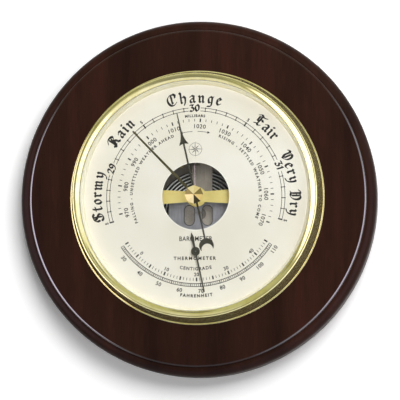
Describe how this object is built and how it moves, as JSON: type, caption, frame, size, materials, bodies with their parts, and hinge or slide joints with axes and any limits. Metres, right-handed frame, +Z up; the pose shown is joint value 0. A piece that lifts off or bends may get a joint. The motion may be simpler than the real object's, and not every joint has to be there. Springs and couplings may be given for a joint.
{
  "type": "wall barometer",
  "caption": "Round wall barometer in a dark turned wood case with a brass bezel, an open dial showing the aneroid movement, a thermometer and a set hand.",
  "frame": {"origin": "on the wall plane, on the axis of the dial's hands", "axes": "+Z up towards 12 o'clock, +Y into the wall, so the dial faces -Y; +X is to the viewer's right"},
  "size_m": [0.2032, 0.0393, 0.2032],
  "materials": {
    "mahogany": "dark stained hardwood under a satin lacquer",
    "polished_brass": "polished and lacquered brass",
    "dull_brass": "brushed or sheared brass, slightly aged",
    "glass": "clear flat glass with a ground bevel",
    "cream_enamel": "cream paint, smooth and matt, printed black",
    "grey_gasket": "thin grey sealing ring",
    "nylon": "pale plastic washers",
    "black_lacquer": "thin steel with black lacquer",
    "bright_steel": "turned bright steel",
    "grey_steel": "grey rolled sheet steel",
    "nickel_skin": "thin pressed nickel silver"
  },
  "bodies": {
    "case_body": {"wood_base": "mahogany", "hanger_plate": "dull_brass", "hanger_screws": "dull_brass", "instrument_case": "dull_brass", "case_screws": "bright_steel", "bezel": "polished_brass", "glass": "glass", "glass_gasket": "grey_gasket", "spacer_ring": "cream_enamel", "dial": "cream_enamel", "movement_plate": "grey_steel", "movement_posts": "dull_brass", "movement_screws": "bright_steel", "bridge_pillars": "dull_brass", "lower_bridge": "grey_steel", "bridge_spacers": "dull_brass", "front_bridge": "dull_brass", "bridge_screws": "bright_steel", "capsule_lower": "nickel_skin", "capsule_upper": "nickel_skin", "capsule_nut": "dull_brass", "spring_bridge": "grey_steel", "spring_bridge_screws": "bright_steel", "mainspring_root": "grey_steel", "mainspring_bend": "grey_steel", "mainspring_screws": "bright_steel", "rocker_bracket": "dull_brass", "bracket_screws": "bright_steel", "rocker_pivots": "bright_steel", "hairspring": "bright_steel", "hairspring_stud": "dull_brass", "thermometer_bush": "polished_brass", "bimetal_coil": "dull_brass", "thermometer_bracket": "grey_steel", "thermometer_rivets": "dull_brass"},
    "post_body": {"capsule_post": "dull_brass", "knife_pin": "bright_steel"},
    "lever_body": {"mainspring_leaf": "grey_steel", "main_lever": "grey_steel", "lever_rivets": "dull_brass", "lever_pin": "bright_steel"},
    "link_body": {"link": "dull_brass"},
    "rocker_body": {"rocker_shaft": "bright_steel", "crank_arm": "dull_brass", "chain_arm": "dull_brass"},
    "chain_body": {"chain": "bright_steel"},
    "pointer_body": {"pointer_arbor": "bright_steel", "chain_drum": "dull_brass", "pressure_hand": "black_lacquer", "hand_bush": "polished_brass"},
    "adjuster_body": {"adjusting_screw": "bright_steel"},
    "thermometer_body": {"thermometer_staff": "dull_brass", "thermometer_hand": "black_lacquer"},
    "set_hand_body": {"set_spindle": "dull_brass", "set_washers": "nylon", "set_hand": "dull_brass", "set_knob": "polished_brass"}
  },
  "joints": [
    {"name": "pressure_turn", "type": "hinge", "parent": "case_body", "child": "pointer_body", "pos_m": [0, -0.02, 0], "axis": [0, 1, 0], "range_deg": [-95.1, 120.3], "stiffness_Nm_per_rad": 0.001, "deforming": ["hairspring"]},
    {"name": "capsule_lift", "type": "slide", "parent": "case_body", "child": "post_body", "axis": [0, -1, 0], "range_m": [-0.00049, 0.000387], "deforming": ["capsule_upper"]},
    {"name": "lever_lift", "type": "hinge", "parent": "case_body", "child": "lever_body", "pos_m": [0.0012, -0.0155, -0.0249], "axis": [1, 0, 0], "range_deg": [-1.81, 1.43], "deforming": ["mainspring_bend"]},
    {"name": "link_swing", "type": "hinge", "parent": "lever_body", "child": "link_body", "pos_m": [0.00375, -0.0147, 0.027], "axis": [1, 0, 0], "range_deg": [-1.43, 1.81]},
    {"name": "rocker_turn", "type": "hinge", "parent": "case_body", "child": "rocker_body", "pos_m": [0, -0.012, 0.021], "axis": [1, 0, 0], "range_deg": [-15.64, 12.36]},
    {"name": "chain_run", "type": "slide", "parent": "case_body", "child": "chain_body", "axis": [0, 0, 1], "range_m": [-0.00173, 0.00218]},
    {"name": "adjuster_turn", "type": "hinge", "parent": "case_body", "child": "adjuster_body", "pos_m": [0.0012, -0.004, -0.0365], "axis": [0, 1, 0], "range_deg": [-180, 180]},
    {"name": "thermometer_turn", "type": "hinge", "parent": "case_body", "child": "thermometer_body", "pos_m": [0, -0.026, -0.0313], "axis": [0, 1, 0], "range_deg": [-79.5, 97.5], "stiffness_Nm_per_rad": 0.0005, "deforming": ["bimetal_coil"]},
    {"name": "set_hand_turn", "type": "hinge", "parent": "case_body", "child": "set_hand_body", "pos_m": [0, -0.032, 0], "axis": [0, 1, 0], "continuous": true}
  ],
  "couplings": [
    {"joint": "pressure_turn", "follows": "capsule_lift", "rad_per_m": -4271.7},
    {"joint": "lever_lift", "follows": "capsule_lift", "rad_per_m": 61.726},
    {"joint": "link_swing", "follows": "capsule_lift", "rad_per_m": -61.726},
    {"joint": "rocker_turn", "follows": "capsule_lift", "rad_per_m": 533.96},
    {"joint": "chain_run", "follows": "capsule_lift", "ratio": -4.2717}
  ]
}
